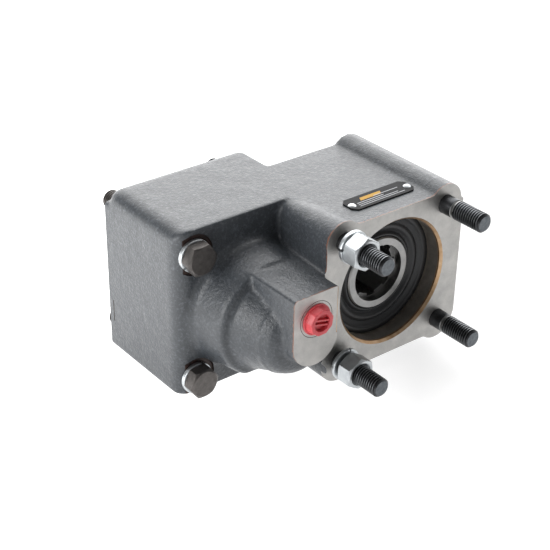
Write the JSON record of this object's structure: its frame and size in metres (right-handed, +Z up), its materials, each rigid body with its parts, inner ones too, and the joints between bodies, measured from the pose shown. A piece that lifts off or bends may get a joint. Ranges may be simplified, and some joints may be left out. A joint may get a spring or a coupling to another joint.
{
  "type": "power take-off unit",
  "caption": "Offset gear power take-off with an air-shifted splined input shaft and a hollow splined output behind a square stud flange.",
  "frame": {"origin": "centre of the pump stud square on the machined pump flange face, which is also the centre of the pilot bore", "axes": "-Y points out of the pump flange to the pump, +Y to the gearbox, +Z is up, +X is away from the air cylinder boss"},
  "size_m": [0.176, 0.1775, 0.1155],
  "materials": {
    "casting_paint": "grey paint over cast iron, machined faces left bare",
    "plate_black": "black plate with plain gold and white fields",
    "bright_zinc": "bright zinc plating",
    "red_plastic": "red moulded plastic",
    "rubber_black": "black nitrile rubber",
    "black_oxide": "black oxide",
    "spring_steel": "phosphated spring steel",
    "ground_steel": "ground and splined steel",
    "gear_steel": "hobbed and hardened steel",
    "bearing_steel": "polished bearing steel",
    "bare_iron": "machined cast iron",
    "piston_aluminium": "turned aluminium"
  },
  "bodies": {
    "housing_body": {"housing": "casting_paint", "name_plate": "plate_black", "name_plate_rivets": "bright_zinc", "air_port_plug": "red_plastic", "air_port_seal": "rubber_black", "stud_upper_left": "black_oxide", "stud_upper_right": "black_oxide", "stud_lower_left": "black_oxide", "stud_lower_right": "black_oxide", "stud_washer_upper": "bright_zinc", "stud_washer_lower": "bright_zinc", "stud_nut_upper": "bright_zinc", "stud_nut_lower": "bright_zinc", "gearbox_bolt_upper": "black_oxide", "gearbox_bolt_lower": "black_oxide", "bolt_washer_upper": "bright_zinc", "bolt_washer_lower": "bright_zinc", "gearbox_stud_upper": "black_oxide", "gearbox_stud_lower": "black_oxide", "output_seal": "rubber_black", "output_retaining_ring": "spring_steel", "output_front_outer_race": "bearing_steel", "output_front_balls": "bearing_steel", "output_rear_outer_race": "bearing_steel", "output_rear_balls": "bearing_steel", "input_front_outer_race": "bearing_steel", "input_front_balls": "bearing_steel", "input_rear_outer_race": "bearing_steel", "input_rear_balls": "bearing_steel", "bearing_carrier": "bare_iron", "carrier_retaining_ring": "spring_steel", "return_spring": "spring_steel"},
    "output_body": {"output_shaft": "ground_steel", "output_gear": "gear_steel", "output_gear_key": "gear_steel", "output_gear_circlip": "spring_steel", "output_front_inner_race": "bearing_steel", "output_rear_inner_race": "bearing_steel"},
    "input_body": {"input_gear_hub": "gear_steel", "input_front_inner_race": "bearing_steel", "input_rear_inner_race": "bearing_steel", "input_hub_circlip": "spring_steel"},
    "piston_body": {"shift_piston": "piston_aluminium", "piston_o_ring": "rubber_black", "shift_inner_race": "bearing_steel", "shift_balls": "bearing_steel", "shift_bearing_circlip": "spring_steel"},
    "sliding_body": {"sliding_shaft": "ground_steel", "shift_outer_race": "bearing_steel"}
  },
  "joints": [
    {"name": "output_spin", "type": "hinge", "parent": "housing_body", "child": "output_body", "pos_m": [0, 0, 0], "axis": [0, 1, 0], "continuous": true},
    {"name": "input_spin", "type": "hinge", "parent": "housing_body", "child": "input_body", "pos_m": [-0.07099, 0, -0.012], "axis": [0, 1, 0], "continuous": true},
    {"name": "piston_slide", "type": "slide", "parent": "housing_body", "child": "piston_body", "axis": [0, 1, 0], "range_m": [0, 0.012], "stiffness_N_per_m": 2000, "deforming": ["return_spring"]},
    {"name": "shaft_slide", "type": "slide", "parent": "input_body", "child": "sliding_body", "axis": [0, 1, 0], "range_m": [0, 0.012]}
  ],
  "couplings": [
    {"joint": "output_spin", "follows": "input_spin", "ratio": -1.087},
    {"joint": "shaft_slide", "follows": "piston_slide", "ratio": 1}
  ]
}
